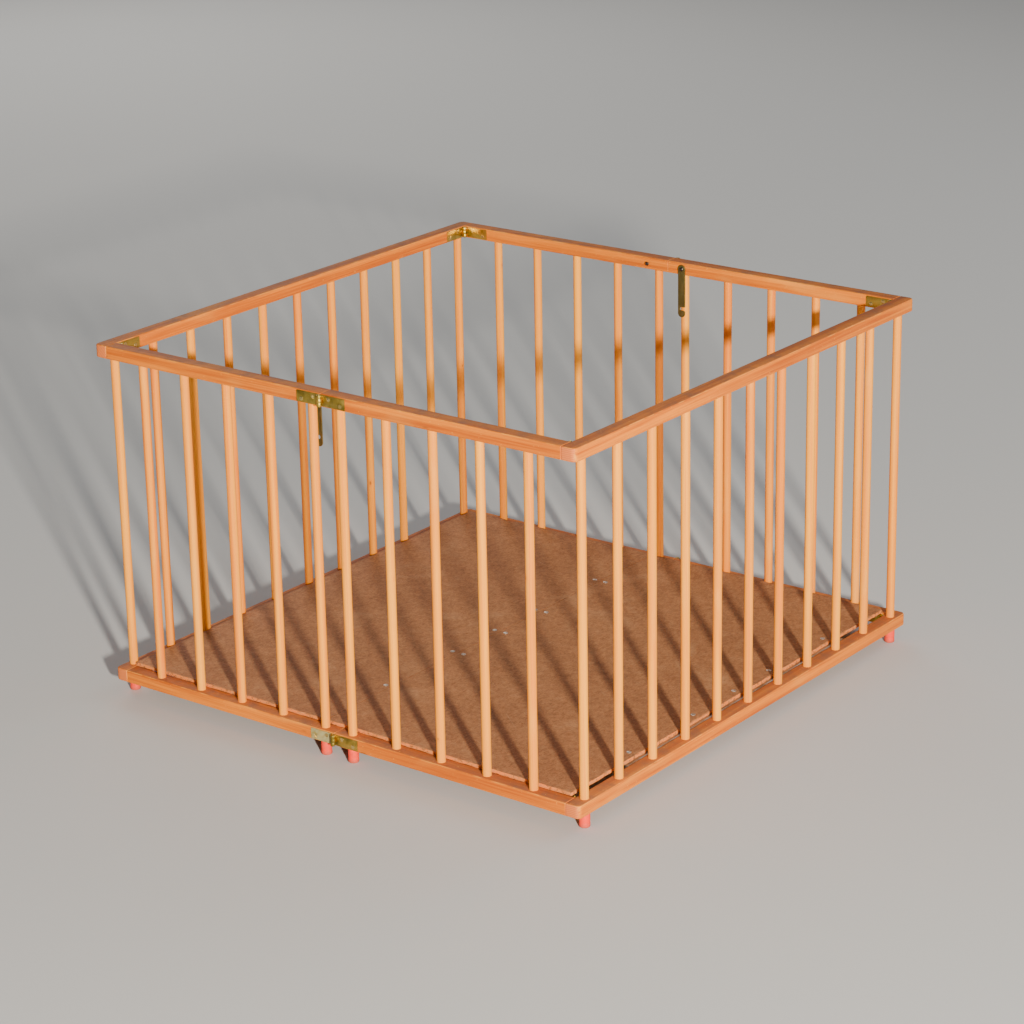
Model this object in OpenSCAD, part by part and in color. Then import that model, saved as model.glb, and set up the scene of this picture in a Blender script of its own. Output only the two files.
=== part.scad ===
// Folding wooden playpen with a hinged floor.
// Frame: +X along the two one-piece panels, +Y across the two split sides, +Z up.
// The origin is on the ground under the middle of the pen.

/* [Pen] */
// Outer length along the one-piece panels
pen_l = 1000; // [940:5:1060]
// Outer width along the split sides
pen_w = 996; // [940:2:1060]
// Height from the ground to the top of the rails
pen_h = 634; // [600:1:700]
// Height of the bottom rails above the ground
foot_h = 26; // [22:1:32]

/* [Rails] */
// Depth of a rail, across the panel
rail_d = 27; // [26:0.5:30]
// Height of a rail
rail_h = 22.5; // [22.5:0.5:28]
// Radius of the eased long edges
edge_r = 2.5; // [1.5:0.25:4]
// Radius of the rounded outer corners of the one-piece panels
end_r = 9; // [4:0.5:12]

/* [Bars] */
// Diameter of a dowel bar
bar_d = 15; // [13:0.5:16]
// Depth of a blind dowel hole
dowel_in = 9; // [8:0.5:9]
// Bars in a one-piece panel
panel_bars = 11; // [9:1:13]
// Bars in each half of a split side
half_bars = 5; // [4:1:6]
// Distance from a panel's end to its first bar
panel_inset = 32.5; // [28:0.5:38]
// Distance from the split to a half's first bar
split_inset = 29; // [24:0.5:34]
// Distance from the one-piece panel to a half's last bar
corner_inset = 71; // [64:1:76]

/* [Feet] */
// Outer diameter of a rubber foot
foot_d = 18.4; // [17.5:0.1:21]
// Thickness of the rubber under a dowel end
foot_sole = 3; // [2:0.5:5]

/* [Butt hinges] */
// Length of a leaf from the pin's axis
leaf_l = 50; // [46:1:54]
// Height of a leaf
leaf_h = 19; // [17:0.5:19]
// Thickness of a leaf
leaf_t = 1.6; // [1.2:0.1:1.8]
// Depth that a leaf is let into the wood
leaf_in = 1; // [0.8:0.1:1.2]
// Radius of the knuckle
knuckle_r = 4.5; // [4:0.1:4.8]
// Radius of the pin
pin_r = 1.8; // [1.4:0.1:2]

/* [Floor] */
// Thickness of the floor boards
board_t = 6; // [4.5:0.25:6]
// Half the width of the floor boards
board_half = 475; // [440:0.5:475]
// Distance from the centre to the seam between the boards
seam_y = 37.5; // [20:0.5:60]
// Distance from the centre to the front edge of the floor
floor_front_y = 465; // [440:1:465]
// Distance from the centre to the rear edge of the floor
floor_rear_y = 474; // [472:0.5:474]
// Radius of the strip hinges' knuckles
strip_r = 2.5; // [2.2:0.1:2.6]
// Half the length of the strip hinges
strip_half = 330; // [320:5:360]

/* [Hooks] */
// Distance from the split to a hook's pivot
pivot_y = 31; // [28:0.5:36]
// Distance from the split to a catch pin
catch_y = 43.5; // [40:0.5:48]
// Thickness of a hook
hook_t = 2; // [1.5:0.1:2.2]
// Width of a hook
hook_w = 15; // [13:0.5:16]

/* [Hidden] */
$fn = 48;
fit = 0.05;                  // clearance round a dowel, a screw or a turning pin
gap = 0.3;                   // gap between pieces of different bodies
end_in_r = 2;                // corner where a panel's end meets the half's outer face
half_l = pen_l / 2;
half_w = pen_w / 2;
inner_x = half_l - rail_d;   // inner face of the split sides
inner_y = half_w - rail_d;   // inner face of the one-piece panels
bar_x = half_l - rail_d / 2;
bar_y = half_w - rail_d / 2;
low_z = foot_h;              // underside of the bottom rails
low_top = foot_h + rail_h;
top_z = pen_h - rail_h;      // underside of the top rails
rail_levels = [low_z + rail_h / 2, top_z + rail_h / 2];
panel_pitch = (pen_l - 2 * panel_inset) / (panel_bars - 1);
half_pitch = (inner_y - corner_inset - split_inset) / (half_bars - 1);

pin_out = knuckle_r - leaf_in;      // pin axis outside the face it is let into
corner_x = inner_x - pin_out;       // corner hinge axes
corner_y = inner_y - pin_out;
mid_x = half_l + pin_out;           // mid hinge axes, on the outer faces
bore_r = pin_r + fit;
grip_r = pin_r + 0.02;
segment = (leaf_h - 0.4) / 3;       // length of one knuckle segment
screw_u = [16, 40];                 // screws on a leaf, from the pin's axis
screw_v = [3.7, -3.7];
screw_r = 1.6;
screw_l = 14;
head_r = 3.8;
head_h = 2.2;

board_z = low_top + gap;
strip_t = 1;                        // strip hinge leaf thickness
strip_z = board_z - strip_r;        // height of both strip hinge axes
strip_y = -(inner_y - strip_r - gap);
strip_pin_r = 1.2;
strip_bore_r = strip_pin_r + fit;
strip_count = 11;
strip_seg = 2 * strip_half / strip_count;
strip_gap = 0.3;
seam_leaf = 24;
edge_leaf = 28;
rail_leaf = 18;
rivet_off = 12;                     // rivets to each side of the seam
seam_rivets = [-305, -121, 0, 121, 305];
edge_rivets = [-296, -112, 11, 120, 296];
edge_rivet_y = -449.5;
rivet_r = 1.8;
rivet_head_r = 4.4;
rivet_head_h = 1.3;
rail_screws = [-300, -150, 0, 150, 300];

hook_z = rail_levels[1];
hook_reach = pivot_y + catch_y;
hook_tail = 8.5;                    // from the notch to the centre of the hook's round end
notch_w = 6.6;
hook_off = 0.6;                     // gap between the rail and a hook
pivot_r = 2.2;
pivot_head_r = 4.2;
catch_r = 2;
catch_neck = 4.2;
catch_head_r = 3.7;

SIDES = ["left_front", "left_rear", "right_front", "right_rear"];

// ---- shared shapes -------------------------------------------------------

// Rectangle with round corners, centred
module soft_rect(w, h, r) {
    square([w - 2 * r, h], center = true);
    square([w, h - 2 * r], center = true);
    for (x = [-1, 1], y = [-1, 1])
        translate([x * (w / 2 - r), y * (h / 2 - r)]) circle(r);
}

// What is cut away to round a corner whose outward direction is sx, sy
module corner_cut(sx, sy, r) {
    difference() {
        translate([sx > 0 ? 0 : -r - 1, sy > 0 ? 0 : -r - 1]) square(r + 1);
        circle(r);
    }
}

// Countersunk wood screw, its head flush with the XY plane and its point along -Z
module wood_screw() {
    difference() {
        union() {
            translate([0, 0, -head_h]) cylinder(r1 = screw_r, r2 = head_r, h = head_h);
            translate([0, 0, -screw_l + 3]) cylinder(r = screw_r, h = screw_l - 3 - head_h);
            translate([0, 0, -screw_l]) cylinder(r1 = 0.3, r2 = screw_r, h = 3);
        }
        translate([-head_r, -0.5, -0.8]) cube([2 * head_r, 1, 1.6]);
    }
}

module screw_hole() {
    translate([0, 0, -head_h - fit]) cylinder(r1 = screw_r + fit, r2 = head_r + fit, h = head_h + fit);
    translate([0, 0, -screw_l - 0.5]) cylinder(r = screw_r + fit, h = screw_l + 0.5);
}

// ---- butt hinges: pin axis on Z, leaf along +X, wood on the -Y side --------

module at_leaf_screws() {
    for (i = [0, 1])
        translate([screw_u[i], leaf_t - knuckle_r, screw_v[i]]) rotate([-90, 0, 0]) children();
}

// Knuckle segments: the two outer ones, or the middle one
module knuckles(outer, r) {
    step = segment + 0.2;
    for (i = outer ? [-1, 1] : [0])
        translate([0, 0, i * step - segment / 2]) cylinder(r = r, h = segment);
}

module butt_leaf(outer) {
    difference() {
        union() {
            difference() {
                translate([0, -knuckle_r, -leaf_h / 2]) cube([leaf_l, leaf_t, leaf_h]);
                for (i = outer ? [0] : [-1, 1])
                    translate([0, 0, i * (segment + 0.2) - segment / 2 - 0.2])
                        cylinder(r = knuckle_r + 0.25, h = segment + 0.4);
            }
            knuckles(outer, knuckle_r);
        }
        translate([0, 0, -leaf_h]) cylinder(r = outer ? grip_r : bore_r, h = 2 * leaf_h);
        at_leaf_screws() screw_hole();
    }
}

// Mortise, knuckle relief and screw holes that one leaf needs in its rail
module leaf_mortise() {
    translate([-1, -knuckle_r - fit, -leaf_h / 2 - 0.2]) cube([leaf_l + 1.2, knuckle_r, leaf_h + 0.4]);
    translate([0, 0, -leaf_h / 2 - 0.2]) cylinder(r = knuckle_r + 0.3, h = leaf_h + 0.4);
    at_leaf_screws() screw_hole();
}

module hinge_pin() {
    translate([0, 0, -leaf_h / 2 - 0.2]) cylinder(r = pin_r, h = leaf_h + 0.4);
}

// Places of a hinge, for the left front corner and the left side, at each rail
module at_corner_axis() {
    for (z = rail_levels) translate([-corner_x, -corner_y, z]) children();
}

module at_panel_leaf() { at_corner_axis() children(); }
module at_half_corner_leaf() { at_corner_axis() mirror([1, -1, 0]) children(); }
module at_mid_axis() { for (z = rail_levels) translate([-mid_x, 0, z]) children(); }
module at_half_mid_leaf() { at_mid_axis() mirror([1, 1, 0]) children(); }

// The front panel's pieces are drawn once; the rear panel is their mirror image
module rear(is_rear) { mirror([0, is_rear ? 1 : 0, 0]) children(); }
module both_ends() { for (m = [0, 1]) mirror([m, 0, 0]) children(); }

// The left front half is drawn once; the other three are its mirror images
function is_right(s) = s == "right_front" || s == "right_rear";
function is_rear_half(s) = s == "left_rear" || s == "right_rear";
module as_half(s) { mirror([is_right(s) ? 1 : 0, 0, 0]) rear(is_rear_half(s)) children(); }

// ---- one-piece panels ------------------------------------------------------

function panel_bar_x(i) = panel_inset - half_l + i * panel_pitch;
function carries_foot(i) = i == 0 || i == panel_bars - 1;

module panel_rail_blank() {
    intersection() {
        translate([0, -bar_y, -rail_h / 2]) linear_extrude(rail_h) difference() {
            square([pen_l, rail_d], center = true);
            for (s = [-1, 1]) {
                translate([s * (half_l - end_r), end_r - rail_d / 2]) corner_cut(s, -1, end_r);
                translate([s * (half_l - end_in_r), rail_d / 2 - end_in_r]) corner_cut(s, 1, end_in_r);
            }
        }
        translate([-half_l, -bar_y, 0]) rotate([90, 0, 90]) linear_extrude(pen_l)
            soft_rect(rail_d, rail_h, edge_r);
        translate([0, -inner_y, 0]) rotate([90, 0, 0]) linear_extrude(rail_d)
            soft_rect(pen_l, rail_h, edge_r);
    }
}

module panel_rail(is_rear, is_top) {
    z = rail_levels[is_top ? 1 : 0];
    color("peru") rear(is_rear) difference() {
        translate([0, 0, z]) panel_rail_blank();
        for (i = [0 : panel_bars - 1]) translate([panel_bar_x(i), -bar_y, 0])
            dowel_hole(is_top, carries_foot(i));
        both_ends() at_panel_leaf() leaf_mortise();
        if (!is_rear && !is_top)
            for (x = rail_screws) translate([x, -inner_y, strip_z - 10]) rotate([-90, 0, 0]) strip_screw_hole();
    }
}

module dowel_hole(is_top, through) {
    start = is_top ? top_z - 1 : (through ? low_z - 1 : low_top - dowel_in - 0.2);
    stop = is_top ? top_z + dowel_in + 0.2 : low_top + 1;
    translate([0, 0, start]) cylinder(d = bar_d + 2 * fit, h = stop - start);
}

module dowel_bar(with_foot) {
    start = with_foot ? foot_sole + 0.1 : low_top - dowel_in;
    translate([0, 0, start]) cylinder(d = bar_d, h = top_z + dowel_in - start);
}

module rubber_foot() {
    difference() {
        rotate_extrude() {
            square([foot_d / 2 - 2, foot_h - 0.1]);
            translate([0, 2]) square([foot_d / 2, foot_h - 2.1]);
            translate([foot_d / 2 - 2, 2]) circle(2);
        }
        translate([0, 0, foot_sole]) cylinder(d = bar_d + 2 * fit, h = foot_h);
    }
}

module panel_bars(is_rear) {
    color("burlywood") rear(is_rear)
        for (i = [0 : panel_bars - 1]) translate([panel_bar_x(i), -bar_y, 0]) dowel_bar(carries_foot(i));
}

module panel_feet(is_rear) {
    color("tomato") rear(is_rear) both_ends()
        translate([panel_bar_x(0), -bar_y, 0]) rubber_foot();
}

module panel_leaves(is_rear) {
    color("goldenrod") rear(is_rear) both_ends() at_panel_leaf() butt_leaf(true);
}

module panel_screws(is_rear) {
    color("gold") rear(is_rear) both_ends() at_panel_leaf() at_leaf_screws() wood_screw();
}

module panel_pins(is_rear) {
    color("gold") rear(is_rear) both_ends() at_corner_axis() hinge_pin();
}

// ---- halves of the split sides ---------------------------------------------

function half_bar_y(i) = -split_inset - i * half_pitch;

module half_rail(s, is_top) {
    z = rail_levels[is_top ? 1 : 0];
    hook_half = s == "left_rear" || s == "right_front";
    color("peru") as_half(s) difference() {
        translate([-bar_x, gap - inner_y, z]) rotate([-90, 0, 0])
            linear_extrude(inner_y - 2 * gap) soft_rect(rail_d, rail_h, edge_r);
        for (i = [0 : half_bars - 1]) translate([-bar_x, half_bar_y(i), 0])
            dowel_hole(is_top, i == 0);
        at_half_corner_leaf() leaf_mortise();
        at_half_mid_leaf() leaf_mortise();
        if (is_top)
            translate([-inner_x, hook_half ? -pivot_y : -catch_y, hook_z]) rotate([0, -90, 0])
                translate([0, 0, -1]) cylinder(r = screw_r + fit, h = screw_l + 1.2);
    }
}

module half_bars(s) {
    color("burlywood") as_half(s)
        for (i = [0 : half_bars - 1]) translate([-bar_x, half_bar_y(i), 0]) dowel_bar(i == 0);
}

module half_foot(s) {
    color("tomato") as_half(s) translate([-bar_x, half_bar_y(0), 0]) rubber_foot();
}

module half_leaves(s) {
    color("goldenrod") as_half(s) {
        at_half_corner_leaf() butt_leaf(false);
        at_half_mid_leaf() butt_leaf(!is_rear_half(s));
    }
}

module half_screws(s) {
    color("gold") as_half(s) {
        at_half_corner_leaf() at_leaf_screws() wood_screw();
        at_half_mid_leaf() at_leaf_screws() wood_screw();
    }
}

module mid_pins(right) {
    color("gold") mirror([right ? 1 : 0, 0, 0]) at_mid_axis() hinge_pin();
}

// ---- hooks, drawn on the right side; the left ones are turned half a turn ---

module hook_side(left) { rotate([0, 0, left ? 180 : 0]) children(); }

// Outline of a hook hanging from its pivot at the origin, its notch open to -X
module hook_outline() {
    tail = hook_reach + hook_tail;
    difference() {
        union() {
            circle(d = hook_w + 1);
            translate([-hook_w / 2, -tail]) square([hook_w, tail]);
            translate([0, -tail]) circle(d = hook_w);
        }
        translate([0, -hook_reach]) circle(d = notch_w);
        translate([-hook_w, -hook_reach - notch_w / 2]) square([hook_w, notch_w]);
        circle(r = pivot_r + fit);
    }
}

module hook(left) {
    color("darkolivegreen") hook_side(left)
        translate([inner_x - hook_off, -pivot_y, hook_z])
            rotate([90, 0, -90]) mirror([1, 0, 0]) linear_extrude(hook_t) hook_outline();
}

module hook_pivot(left) {
    color("dimgray") hook_side(left) translate([inner_x, -pivot_y, hook_z]) rotate([0, -90, 0]) {
        cylinder(r = 4, h = hook_off - 0.1);
        cylinder(r = pivot_r, h = hook_off + hook_t + 0.3);
        translate([0, 0, hook_off + hook_t + 0.1]) rotate_extrude() intersection() {
            translate([0, -2.4]) circle(r = 4.84);
            square([pivot_head_r, 4]);
        }
        translate([0, 0, -screw_l]) cylinder(r = screw_r, h = screw_l + 0.1);
    }
}

module catch_pin(left) {
    color("dimgray") hook_side(left) translate([inner_x, catch_y, hook_z]) rotate([0, -90, 0]) {
        translate([0, 0, -screw_l]) cylinder(r = screw_r, h = screw_l + 0.1);
        cylinder(r = catch_r, h = catch_neck + 0.1);
        translate([0, 0, catch_neck]) difference() {
            cylinder(r = catch_head_r, h = 1.6);
            translate([-catch_head_r, -0.5, 0.9]) cube([2 * catch_head_r, 1, 1]);
        }
    }
}

// ---- floor -----------------------------------------------------------------

module floor_front_board() {
    depth = seam_y - gap + floor_front_y;
    color("sienna") difference() {
        translate([0, seam_y - gap - depth / 2, board_z]) linear_extrude(board_t)
            soft_rect(2 * board_half, depth, 3);
        for (x = seam_rivets) translate([x, seam_y - rivet_off, 0]) rivet_hole();
        for (x = edge_rivets) translate([x, edge_rivet_y, 0]) rivet_hole();
    }
}

module floor_rear_board() {
    depth = floor_rear_y - seam_y - gap;
    color("sienna") difference() {
        translate([0, seam_y + gap + depth / 2, board_z]) linear_extrude(board_t)
            soft_rect(2 * board_half, depth, 3);
        for (x = seam_rivets) translate([x, seam_y + rivet_off, 0]) rivet_hole();
    }
}

module rivet_hole() { translate([0, 0, board_z - 5]) cylinder(r = rivet_r + fit, h = board_t + 10); }

module rivet() {
    translate([0, 0, board_z - strip_t - 0.1]) cylinder(r = rivet_r, h = board_t + strip_t + 0.3);
    translate([0, 0, board_z - strip_t - 0.9]) cylinder(r = rivet_r + 1.2, h = 0.9);
    translate([0, 0, board_z + board_t]) rotate_extrude() intersection() {
        translate([0, rivet_head_h - 8.1]) circle(r = 8.1);
        square([rivet_head_r, rivet_head_h]);
    }
}

// Strip hinge: axis on X, leaf along +Y with its face at +Z; odd or even knuckles
module strip_knuckles(odd, r, grow) {
    for (i = [0 : strip_count - 1]) if (i % 2 == odd)
        translate([i * strip_seg - strip_half + strip_gap / 2 - grow, 0, 0]) rotate([0, 90, 0])
            cylinder(r = r, h = strip_seg - strip_gap + 2 * grow);
}

module strip_leaf(width, odd, lift) {
    difference() {
        union() {
            difference() {
                translate([-strip_half, 0, strip_r + lift - strip_t])
                    cube([2 * strip_half, width, strip_t]);
                strip_knuckles(1 - odd, strip_r + 0.2, strip_gap);
            }
            strip_knuckles(odd, strip_r, 0);
        }
        translate([-strip_half - 1, 0, 0]) rotate([0, 90, 0]) cylinder(r = strip_bore_r, h = 2 * strip_half + 2);
    }
}

module strip_pin(y) {
    color("silver") translate([-strip_half, y, strip_z]) rotate([0, 90, 0])
        cylinder(r = strip_pin_r, h = 2 * strip_half);
}

module strip_screw_hole() { translate([0, 0, -12]) cylinder(r = 1.25, h = 16); }

module floor_edge_board_leaf() {
    color("gray") difference() {
        translate([0, strip_y, strip_z]) strip_leaf(edge_leaf, 1, 0);
        for (x = edge_rivets) translate([x, edge_rivet_y, 0]) rivet_hole();
    }
}

module floor_edge_rail_leaf() {
    color("gray") difference() {
        translate([0, strip_y, strip_z]) mirror([0, 1, 1]) strip_leaf(rail_leaf, 0, gap);
        for (x = rail_screws) translate([x, -inner_y, strip_z - 10]) rotate([-90, 0, 0]) strip_screw_hole();
    }
}

module floor_edge_screws() {
    color("silver") for (x = rail_screws) translate([x, -inner_y + strip_t, strip_z - 10]) rotate([-90, 0, 0]) {
        translate([0, 0, -11]) cylinder(r = 1.2, h = 11.1);
        rotate_extrude() intersection() {
            translate([0, 1.1 - 2.9]) circle(r = 2.9);
            square([2.2, 2]);
        }
    }
}

module floor_seam_leaf(is_rear) {
    color("gray") difference() {
        translate([0, seam_y, strip_z]) mirror([0, is_rear ? 0 : 1, 0]) strip_leaf(seam_leaf, is_rear ? 1 : 0, 0);
        for (x = seam_rivets) translate([x, seam_y + (is_rear ? 1 : -1) * rivet_off, 0]) rivet_hole();
    }
}

module floor_front_rivets() {
    color("dimgray") {
        for (x = seam_rivets) translate([x, seam_y - rivet_off, 0]) rivet();
        for (x = edge_rivets) translate([x, edge_rivet_y, 0]) rivet();
    }
}

module floor_rear_rivets() {
    color("dimgray") for (x = seam_rivets) translate([x, seam_y + rivet_off, 0]) rivet();
}

// ---- nodes -----------------------------------------------------------------

panel_rail(false, true);  // front_top_rail
panel_rail(false, false);  // front_bottom_rail
panel_bars(false);  // front_bars
panel_feet(false);  // front_feet
panel_leaves(false);  // front_hinge_leaves
panel_screws(false);  // front_hinge_screws
panel_pins(false);  // front_hinge_pins
panel_rail(true, true);  // rear_top_rail
panel_rail(true, false);  // rear_bottom_rail
panel_bars(true);  // rear_bars
panel_feet(true);  // rear_feet
panel_leaves(true);  // rear_hinge_leaves
panel_screws(true);  // rear_hinge_screws
panel_pins(true);  // rear_hinge_pins

half_rail("left_front", true);  // left_front_top_rail
half_rail("left_front", false);  // left_front_bottom_rail
half_bars("left_front");  // left_front_bars
half_foot("left_front");  // left_front_foot
half_leaves("left_front");  // left_front_hinge_leaves
half_screws("left_front");  // left_front_hinge_screws
half_rail("left_rear", true);  // left_rear_top_rail
half_rail("left_rear", false);  // left_rear_bottom_rail
half_bars("left_rear");  // left_rear_bars
half_foot("left_rear");  // left_rear_foot
half_leaves("left_rear");  // left_rear_hinge_leaves
half_screws("left_rear");  // left_rear_hinge_screws
half_rail("right_front", true);  // right_front_top_rail
half_rail("right_front", false);  // right_front_bottom_rail
half_bars("right_front");  // right_front_bars
half_foot("right_front");  // right_front_foot
half_leaves("right_front");  // right_front_hinge_leaves
half_screws("right_front");  // right_front_hinge_screws
half_rail("right_rear", true);  // right_rear_top_rail
half_rail("right_rear", false);  // right_rear_bottom_rail
half_bars("right_rear");  // right_rear_bars
half_foot("right_rear");  // right_rear_foot
half_leaves("right_rear");  // right_rear_hinge_leaves
half_screws("right_rear");  // right_rear_hinge_screws

mid_pins(false);  // left_mid_pins
mid_pins(true);  // right_mid_pins
hook(true);  // left_hook
hook_pivot(true);  // left_hook_pivot
catch_pin(true);  // left_catch
hook(false);  // right_hook
hook_pivot(false);  // right_hook_pivot
catch_pin(false);  // right_catch

floor_front_board();
floor_rear_board();
floor_edge_rail_leaf();
floor_edge_board_leaf();
strip_pin(strip_y);  // floor_edge_pin
floor_edge_screws();
floor_seam_leaf(false);  // floor_seam_front_leaf
floor_seam_leaf(true);  // floor_seam_rear_leaf
strip_pin(seam_y);  // floor_seam_pin
floor_front_rivets();
floor_rear_rivets();
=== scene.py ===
"""Folding wooden playpen with rail and dowel sides, butt hinges, hooks and a folding floor."""

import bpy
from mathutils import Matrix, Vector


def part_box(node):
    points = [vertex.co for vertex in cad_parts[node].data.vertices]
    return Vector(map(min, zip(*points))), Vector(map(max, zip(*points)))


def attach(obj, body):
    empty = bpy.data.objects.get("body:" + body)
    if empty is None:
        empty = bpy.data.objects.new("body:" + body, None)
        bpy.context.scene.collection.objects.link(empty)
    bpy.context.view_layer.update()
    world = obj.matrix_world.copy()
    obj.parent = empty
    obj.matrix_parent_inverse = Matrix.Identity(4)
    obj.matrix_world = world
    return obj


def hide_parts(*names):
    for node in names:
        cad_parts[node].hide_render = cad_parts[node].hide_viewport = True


bl_info = {
    "name": "Folding Playpen",
    "version": (1, 0, 0),
    "blender": (4, 5, 0),
    "location": "View3D > Sidebar > Playpen",
    "description": "Builds the rails, bars, fittings and floor of a folding wooden playpen",
    "category": "Add Mesh",
}

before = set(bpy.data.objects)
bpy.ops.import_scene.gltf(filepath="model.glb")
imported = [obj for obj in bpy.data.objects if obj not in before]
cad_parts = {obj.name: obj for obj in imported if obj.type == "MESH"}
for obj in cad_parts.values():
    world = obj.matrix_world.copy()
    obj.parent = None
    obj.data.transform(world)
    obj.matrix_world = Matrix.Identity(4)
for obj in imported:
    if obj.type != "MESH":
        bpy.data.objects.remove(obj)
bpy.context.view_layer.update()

import math
import random

import bmesh
import bpy
from bpy.props import (
    FloatProperty,
    FloatVectorProperty,
    IntProperty,
    PointerProperty,
)
from mathutils import Matrix, Vector

PANELS = ("front", "rear")
HALVES = ("left_front", "left_rear", "right_front", "right_rear")
BODY = {
    "front": "front_panel",
    "rear": "rear_panel",
    **{half: half + "_half" for half in HALVES},
}
LEVELS = ("bottom", "top")
SIDES = (("left", -1), ("right", 1))
UP, DOWN = Vector((0, 0, 1)), Vector((0, 0, -1))


def span(node):
    """Lowest corner, highest corner and centre of a CAD node, in metres."""
    low, high = (Vector(corner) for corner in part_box(node))
    return low, high, (low + high) / 2


RAIL_LOW, RAIL_HIGH, RAIL_MID = span("front_top_rail")
_, LOW_RAIL_HIGH, LOW_RAIL_MID = span("front_bottom_rail")
BAR_LOW, BAR_HIGH, _ = span("front_bars")
_, PANEL_PINS_HIGH, _ = span("front_hinge_pins")
_, _, MID_PINS = span("left_mid_pins")
LEVEL_Z = {"bottom": LOW_RAIL_MID.z, "top": RAIL_MID.z}
INNER_FACE = RAIL_HIGH.x - (RAIL_HIGH.y - RAIL_LOW.y)
PIN_RADIUS = 0.0018
BAR_SINK = 0.009
SEAM_Y = (span("floor_front_board")[1].y + span("floor_rear_board")[0].y) / 2
SEAM_RIVETS_X = (-0.305, -0.121, 0.0, 0.121, 0.305)
SEAM_RIVETS_OFF = 0.012
EDGE_RIVETS_X = (-0.296, -0.112, 0.011, 0.120, 0.296)
EDGE_RIVETS_Y = -0.4495
LEAF_SCREWS = ((0.016, 0.0037), (0.040, -0.0037))
STRIP_NODES = (
    "floor_edge_rail_leaf", "floor_edge_board_leaf", "floor_edge_pin", "floor_edge_screws",
    "floor_seam_front_leaf", "floor_seam_rear_leaf", "floor_seam_pin",
)
HINGE_PINS = {
    "front_hinge_pins": "front_panel",
    "rear_hinge_pins": "rear_panel",
    "left_mid_pins": "left_front_half",
    "right_mid_pins": "right_front_half",
}


# ---- settings ----------------------------------------------------------------


def length(name, description, default, low, high):
    return FloatProperty(
        name=name, description=description, default=default, min=low, max=high,
        unit="LENGTH", precision=4,
    )


def colour(name, description, default):
    return FloatVectorProperty(
        name=name, description=description, default=default, size=3, min=0, max=1,
        subtype="COLOR",
    )


def count(name, description, default, low, high):
    return IntProperty(name=name, description=description, default=default, min=low, max=high)


def power(name, description, default):
    return FloatProperty(
        name=name, description=description, default=default, min=0, subtype="POWER", unit="POWER",
    )


class PlaypenWood(bpy.types.PropertyGroup):
    """Sizes and finish of the rails and the dowel bars"""

    edge_radius: length("Rail edge radius", "Easing of the rails' long edges", 0.0025, 0.0005, 0.005)
    end_radius: length("Rail end radius", "Rounding of the panels' outer corners", 0.009, 0.002, 0.012)
    bar_diameter: length("Bar diameter", "Diameter of a dowel bar", BAR_HIGH.y - BAR_LOW.y, 0.012, 0.016)
    panel_bars: count("Panel bars", "Bars in a one-piece panel", 11, 9, 13)
    half_bars: count("Half bars", "Bars in a half of a split side", 5, 4, 6)
    bow: length("Bar bow", "How far a bar wanders from a straight line", 0.00035, 0, 0.001)
    rail_light: colour("Rail light", "Lighter streaks of the varnished rails", (0.88, 0.245, 0.008))
    rail_dark: colour("Rail dark", "Darker streaks of the varnished rails", (0.50, 0.094, 0.004))
    end_grain: colour("End grain", "Rounded ends of the panel rails", (0.74, 0.20, 0.055))
    bare: colour("Worn wood", "Bare wood where the varnish has rubbed off", (0.92, 0.40, 0.065))
    bar_light: colour("Bar light", "Lighter streaks of the bars", (1.0, 0.395, 0.022))
    bar_dark: colour("Bar dark", "Darker streaks of the bars", (0.82, 0.200, 0.011))
    knot: colour("Knot", "Small knots and stains", (0.20, 0.050, 0.012))
    # The dust colour also serves as painted shade that darkens the rails' tops.
    dust: colour("Dust", "Grey dust on the faces that look up", (0.20, 0.105, 0.066))


class PlaypenFloor(bpy.types.PropertyGroup):
    """Sizes and finish of the floor boards and their rivets"""

    corner_radius: length("Corner radius", "Corners of a floor board", 0.003, 0.001, 0.01)
    chip_depth: length("Chip depth", "How far the boards' edges are chipped", 0.0020, 0, 0.003)
    rivet_radius: length("Rivet radius", "Radius of a rivet's head", 0.0044, 0.003, 0.006)
    rivet_height: length("Rivet height", "Height of a rivet's head", 0.0013, 0.0005, 0.002)
    board_light: colour("Board light", "Lighter fibres of the hardboard", (0.52, 0.235, 0.095))
    board_dark: colour("Board dark", "Darker fibres of the hardboard", (0.19, 0.076, 0.032))
    board_edge: colour("Board edge", "Cut edges of the hardboard", (0.86, 0.215, 0.030))
    scratch: colour("Scratch", "Pale scratches and scuffs", (0.62, 0.36, 0.18))


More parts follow.
